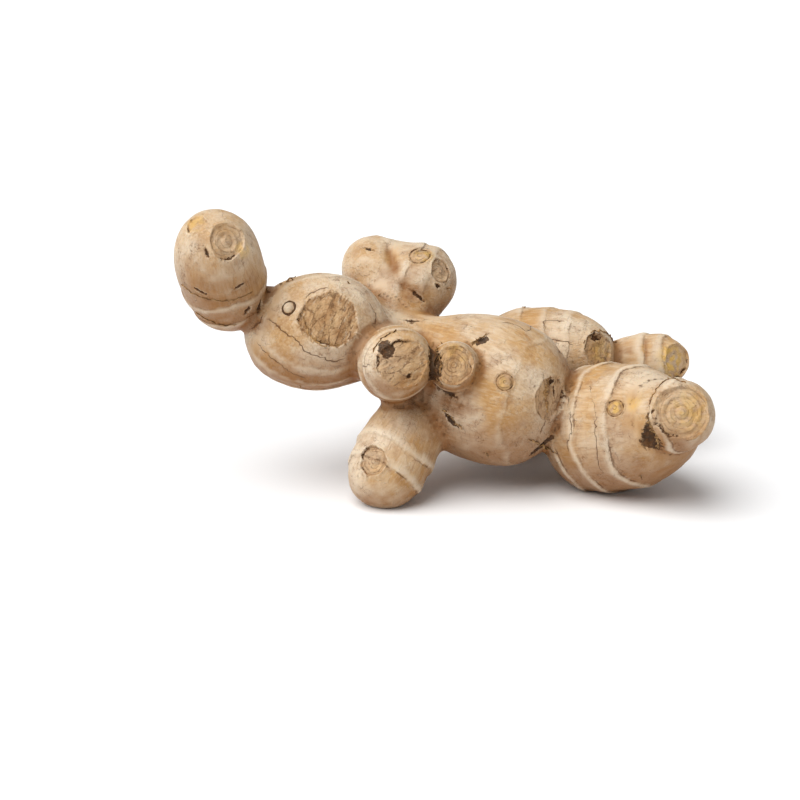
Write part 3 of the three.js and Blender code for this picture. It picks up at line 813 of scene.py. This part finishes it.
for name, (joining, *pieces) in recipes.items():
    sockets = []
    for piece in pieces:
        if isinstance(piece, tuple):
            levels = piece[1:] if len(piece) == 5 else (*piece[1:], 0.0, 1.0)
            ramp = dict(enumerate((parts[piece[0]], *levels)))
            piece = add(tree, "MapRange", ramp, interpolation_type="SMOOTHSTEP")
        sockets.append(parts[piece] if isinstance(piece, str) else piece)
    if joining in ("ABSOLUTE", "SINE", "MULTIPLY_ADD"):
        parts[name] = add(tree, "Math", dict(enumerate(sockets)), operation=joining)
        continue
    parts[name] = sockets[0]
    for socket in sockets[1:]:
        parts[name] = add(tree, "Math", {0: parts[name], 1: socket}, operation=joining)

# Coats of colour, each over the ones before it: the first colour, then how far the next covers it.
coats = {
    "scarTone": ("scar", ("layers", "scarLight"), ("tornCover", "scar"), ("fleckCover", "cream")),
    # soil and painted shade: the darkest colour, with line colour through it
    "soilAndShadeTone": ("dirt", ("soilAndShadeCover", "line")),
    "skinTone": (
        "tan", ("paleCover", "cream"), ("blotchCover", "brown"), ("peelPaleCover", "cream"),
        ("peelBrownCover", "brown"), ("fibreBrownCover", "brown"), ("fibrePaleCover", "cream"),
        # this line ends with painted shade: browner shaded places and underside, darkest in line colour
        ("wrinkleCover", "brown"), ("paintedShadeCover", "brown"), ("paintedShadeLineCover", "line"),
        ("wornCover", "cream"), ("lipCover", "cream"), ("scarred", "scarTone"), ("goldCover", "gold"),
        ("hollowShadeCover", "brown"), ("scarLineCover", "line"), ("fineCover", "line"), ("lineCover", "line"),
        ("tinyCover", "line"), ("dirtAndShadeCover", "soilAndShadeTone"),
    ),
}
tones = {name: linear(value) for name, value in gingerColours.items()}
for name, (first, *others) in coats.items():
    tones[name] = tones[first]
    for cover, tone in others:
        mix = {0: parts[cover], 6: tones[name], 7: tones[tone]}
        tones[name] = add(tree, "Mix", mix, 2, data_type="RGBA")
bump = add(tree, "Bump", {"Height": parts["relief"], "Strength": 1.0, "Distance": 1 / millimetres})
surface = add(tree, "BsdfPrincipled", {
    "Base Color": tones["skinTone"], "Roughness": parts["roughness"], "Normal": bump,
    "IOR": 1.45, "Specular IOR Level": 0.3,
    "Subsurface Weight": 0.1, "Subsurface Radius": (1.0, 0.6, 0.3), "Subsurface Scale": 0.0015,
})
add(tree, "OutputMaterial", {"Surface": surface})
skin.data.materials.clear()
skin.data.materials.append(gingerSkin)
skin.data.polygons.foreach_set("use_smooth", np.ones(len(skin.data.polygons), bool))
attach(skin, "root")
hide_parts("rhizome")
print("materials made")

# Papery edges: dry remains of scale leaves along rings and scars. They stand up on the left of their path.
# Reach is how wide they are, and lift how far their free edge stands off, in millimetres.
papery = {
    "armCollar": {"path": [(686, 383), (668, 380), (655, 390), (650, 405)], "reach": 1.0, "lift": 0.35},
    "armFlap": {"path": [(660, 447), (653, 432), (650, 414)], "reach": 2.4, "lift": 0.8},
    "headLow": {"path": [(182, 284), (204, 299), (230, 302), (252, 292)], "reach": 0.9, "lift": 0.25},
    "headLower": {"path": [(196, 312), (216, 324), (236, 324)], "reach": 0.8, "lift": 0.25},
    "peg": {"path": [(441, 343), (437, 362), (441, 384)], "reach": 1.3, "lift": 0.6},
    "shoulderScar": {"path": [(301, 314), (306, 334), (321, 347), (340, 346)], "reach": 1.2, "lift": 0.5},
    "sideScar": {"path": [(616, 342), (604, 331), (590, 332), (583, 343)], "reach": 1.0, "lift": 0.45},
    "bodyFlap": {"path": [(473, 346), (487, 335)], "reach": 1.7, "lift": 0.6},
    "bodyWedge": {"path": [(442, 411), (462, 429)], "reach": 2.0, "lift": 0.6},
    "bodyUnder": {"path": [(528, 440), (545, 450), (558, 454)], "reach": 1.6, "lift": 0.5},
    "stub": {"path": [(396, 330), (381, 337), (373, 352)], "reach": 1.3, "lift": 0.5},
    "bodyScar": {"path": [(549, 376), (545, 394), (549, 413)], "reach": 1.6, "lift": 0.6},
    "headRear": {"path": [(-57, -2, 68), (-60, 1, 62), (-67, 2, 57)], "reach": 1.0, "lift": 0.35},
    "sideRear": {"path": [(22, 43, 34), (23, 41, 42), (26, 34, 47)], "reach": 1.2, "lift": 0.4},
    "armOuter": {"path": [(66, -3, 8), (70, -6, 16), (68, -4, 26)], "reach": 1.2, "lift": 0.4},
    "shoulderRear": {"path": [(-42, 12, 38), (-37, 12, 36), (-32, 11, 38)], "reach": 1.2, "lift": 0.4},
}
sheet = {"step": 0.3, "across": 5, "thickness": 0.00014, "sunk": 0.15, "narrowest": 0.15}
skinTree = surfaceTree(points - centring)
strips = []
for strip in papery.values():
    stops = np.array([spotOn(place) for place in strip["path"]])
    lengths = np.concatenate([[0], np.cumsum(np.linalg.norm(np.diff(stops, axis=0), axis=1))])
    bpy.ops.mesh.primitive_grid_add(
        x_subdivisions=int(lengths[-1] / sheet["step"]) + 6, y_subdivisions=sheet["across"], size=1
    )
    leaf = bpy.context.object
    for vertex in leaf.data.vertices:
        s = vertex.co.x + 0.5
        b = vertex.co.y + 0.5
        far = s * lengths[-1]
        before, at, after = [
            Vector([np.interp(far + shift, lengths, stops[:, axis]) for axis in range(3)])
            for shift in (-0.6, 0, 0.6)
        ]
        foot, out = skinTree.find_nearest(at)[:2]
        sideways = out.cross(after - before).normalized()
        torn = 0.75 + 0.9 * noise.noise(Vector((far / 1.3, strip["reach"] * 9, 0)))
        torn += 0.4 * noise.noise(Vector((far / 0.4, 3, 0)))
        reach = strip["reach"] * math.sqrt(math.sin(math.pi * min(max(s, 0.01), 0.99))) * torn
        over = skinTree.find_nearest(foot + sideways * (b * max(reach, sheet["narrowest"])))[0]
        curled = 0.6 + 0.8 * noise.noise(Vector((far / 1.1, 7, b)))
        off = strip["lift"] * b**1.6 * curled + 0.12 * b - sheet["sunk"] * (1 - b)
        vertex.co = (over + out * off + Vector(centring)) / millimetres
    thick = leaf.modifiers.new("thick", "SOLIDIFY")
    thick.thickness = sheet["thickness"]
    bpy.ops.object.modifier_apply(modifier=thick.name)
    strips.append(leaf)
bpy.ops.object.select_all(action="DESELECT")
for leaf in strips:
    leaf.select_set(True)
bpy.context.view_layer.objects.active = strips[0]
bpy.ops.object.join()
scales = bpy.context.object
scales.name = scales.data.name = "papery_edges"
bpy.ops.object.shade_smooth()

# Papery scale: the skin's own colours, browner and drier, with flakes of about a millimetre.
paperyScale, leafTree = emptyMaterial("papery_scale")
place = add(leafTree, "TexCoord", {}, "Object")
flakeSize = {"Vector": place, "Scale": 1 / 0.0012, "Detail": 4, "Roughness": 0.55}
speckSize = {"Vector": place, "Scale": 1 / 0.0005, "Detail": 3, "Roughness": 0.55}
flakes = add(leafTree, "TexNoise", flakeSize, "Fac")
specks = add(leafTree, "TexNoise", speckSize, "Fac")
flakeRamp = {0: flakes, 1: 0.38, 2: 0.62}
speckRamp = {0: specks, 1: 0.52, 2: 0.7, 4: 0.5}
flakeCover = add(leafTree, "MapRange", flakeRamp, interpolation_type="SMOOTHSTEP")
speckCover = add(leafTree, "MapRange", speckRamp, interpolation_type="SMOOTHSTEP")
browned = {0: flakeCover, 6: linear("#A67E4C"), 7: linear("#6E4C28")}
tone = add(leafTree, "Mix", browned, 2, data_type="RGBA")
tone = add(leafTree, "Mix", {0: speckCover, 6: tone, 7: linear("#CDB083")}, 2, data_type="RGBA")
bump = add(leafTree, "Bump", {"Height": flakes, "Strength": 0.6, "Distance": 0.0002})
dry = {"Base Color": tone, "Roughness": 0.72, "IOR": 1.45, "Normal": bump}
surface = add(leafTree, "BsdfPrincipled", dry)
add(leafTree, "OutputMaterial", {"Surface": surface})
scales.data.materials.append(paperyScale)

# Rootlets: dry, thin, broken off. Place, direction, length and thickness in millimetres.
rootlets = [
    {"at": (287, 282), "toward": (0.5, -0.3, 0.8), "length": 4.2, "thick": 0.55},
    {"at": (292, 281), "toward": (0.2, -0.2, 1.0), "length": 2.6, "thick": 0.4},
    {"at": (268, 290), "toward": (-0.5, -0.2, 0.8), "length": 2.4, "thick": 0.5},
    {"at": (283, 284), "toward": (-0.9, -0.3, 0.4), "length": 2.8, "thick": 0.45},
    {"at": (350, 284), "toward": (-0.6, -0.4, 0.6), "length": 2.2, "thick": 0.5},
    {"at": (378, 296), "toward": (0.3, -0.7, 0.5), "length": 2.4, "thick": 0.5},
    {"at": (447, 288), "toward": (0.8, -0.4, -0.2), "length": 1.8, "thick": 0.8},
    {"at": (300, 384), "toward": (-0.2, -0.6, -0.8), "length": 2.0, "thick": 0.5},
    {"at": (486, 452), "toward": (0.1, -0.5, -0.8), "length": 2.4, "thick": 0.6},
    {"at": (640, 476), "toward": (0.3, -0.6, -0.4), "length": 2.0, "thick": 0.6},
    {"at": (10, 5, 8), "toward": (0.2, 0.3, -0.9), "length": 3.5, "thick": 0.7},
    {"at": (-2, 10, 20), "toward": (-0.3, 0.6, -0.6), "length": 4.0, "thick": 0.6},
    {"at": (-40, 8, 34), "toward": (0.1, 0.7, -0.6), "length": 4.5, "thick": 0.6},
    {"at": (-30, 4, 31), "toward": (0.3, 0.4, -0.8), "length": 3.0, "thick": 0.7},
    {"at": (48, 38, 22), "toward": (0.3, 0.8, -0.4), "length": 3.2, "thick": 0.6},
    {"at": (60, -2, 6), "toward": (0.5, 0.6, -0.5), "length": 3.0, "thick": 0.7},
    {"at": (18, 34, 20), "toward": (-0.6, 0.6, -0.4), "length": 3.0, "thick": 0.6},
]
rootletSteps = 7
hairs = bpy.data.curves.new("rootlets", "CURVE")
hairs.dimensions = "3D"
hairs.bevel_depth = 0.001
hairs.bevel_resolution = 1
hairs.use_fill_caps = True
for index, rootlet in enumerate(rootlets):
    length = rootlet["length"]
    start = spotOn(rootlet["at"]) + centring
    aim = np.array(rootlet["toward"]) / np.linalg.norm(rootlet["toward"])
    hair = hairs.splines.new("POLY")
    hair.points.add(rootletSteps)
    for step in range(rootletSteps + 1):
        s = step / rootletSteps
        bent = np.array([noise.noise(Vector((index * 5.3, s * 1.7, shift))) for shift in (0, 31, 67)])
        at = start + aim * (length * s - 0.8) + bent * (length * 0.45 * s)
        knotty = 1 + 0.3 * noise.noise(Vector((index, step * 0.9, 2)))
        hair.points[step].co = (*(at / millimetres), 1)
        hair.points[step].radius = rootlet["thick"] * (0.55 - 0.25 * s + 0.35 * math.exp(-s * 9)) * knotty
hairObject = bpy.data.objects.new("rootlets", hairs)
bpy.context.scene.collection.objects.link(hairObject)
bpy.ops.object.select_all(action="DESELECT")
bpy.context.view_layer.objects.active = hairObject
hairObject.select_set(True)
bpy.ops.object.convert(target="MESH")
twigs = bpy.context.object
twigs.name = twigs.data.name = "rootlets"
bpy.ops.object.shade_smooth()

# Dry rootlet: dull brown, paler where it is worn, in patches under 1 mm.
dryRootlet, hairTree = emptyMaterial("dry_rootlet")
place = add(hairTree, "TexCoord", {}, "Object")
fuzzSize = {"Vector": place, "Scale": 1 / 0.0008, "Detail": 3, "Roughness": 0.55}
fuzz = add(hairTree, "TexNoise", fuzzSize, "Fac")
fuzzCover = add(hairTree, "MapRange", {0: fuzz, 1: 0.4, 2: 0.6}, interpolation_type="SMOOTHSTEP")
browned = {0: fuzzCover, 6: linear("#6A4A2C"), 7: linear("#9C7A50")}
tone = add(hairTree, "Mix", browned, 2, data_type="RGBA")
bump = add(hairTree, "Bump", {"Height": fuzz, "Strength": 0.7, "Distance": 0.0002})
dull = {"Base Color": tone, "Roughness": 0.8, "IOR": 1.45, "Normal": bump}
surface = add(hairTree, "BsdfPrincipled", dull)
add(hairTree, "OutputMaterial", {"Surface": surface})
twigs.data.materials.append(dryRootlet)
for piece in (scales, twigs):
    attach(piece, "root")
print("papery edges and rootlets made")

# Studio: a white paper floor and a pale room, with a wide soft source high at the left, a little in front.
studio = {
    "floorSize": 8, "keyAt": (-0.5, -0.4, 1.0), "keyFrom": (-0.42, -0.3, 0.86), "keyEnergy": 3.4,
    "keyAngle": 60, "roomColour": "#F7F8FA", "roomStrength": 0.38,
}
bpy.ops.object.select_all(action="DESELECT")
bpy.ops.mesh.primitive_plane_add(size=studio["floorSize"], location=(0, 0, 0))
floor = bpy.context.object
floor.name = "floor"
whitePaper, paperTree = emptyMaterial("white_paper")
matt = {"Base Color": linear("#F4F4F4"), "Roughness": 0.9, "Specular IOR Level": 0.1}
surface = add(paperTree, "BsdfPrincipled", matt)
add(paperTree, "OutputMaterial", {"Surface": surface})
floor.data.materials.append(whitePaper)

keyTurn = Vector(studio["keyFrom"]).to_track_quat("Z", "Y").to_euler()
bpy.ops.object.light_add(type="SUN", location=studio["keyAt"], rotation=keyTurn)
key = bpy.context.object
key.name = "key"
key.data.energy = studio["keyEnergy"]
key.data.angle = math.radians(studio["keyAngle"])
world = bpy.context.scene.world or bpy.data.worlds.new("room")
bpy.context.scene.world = world
world.use_nodes = True
room = world.node_tree.nodes["Background"]
room.inputs["Color"].default_value = linear(studio["roomColour"])
room.inputs["Strength"].default_value = studio["roomStrength"]
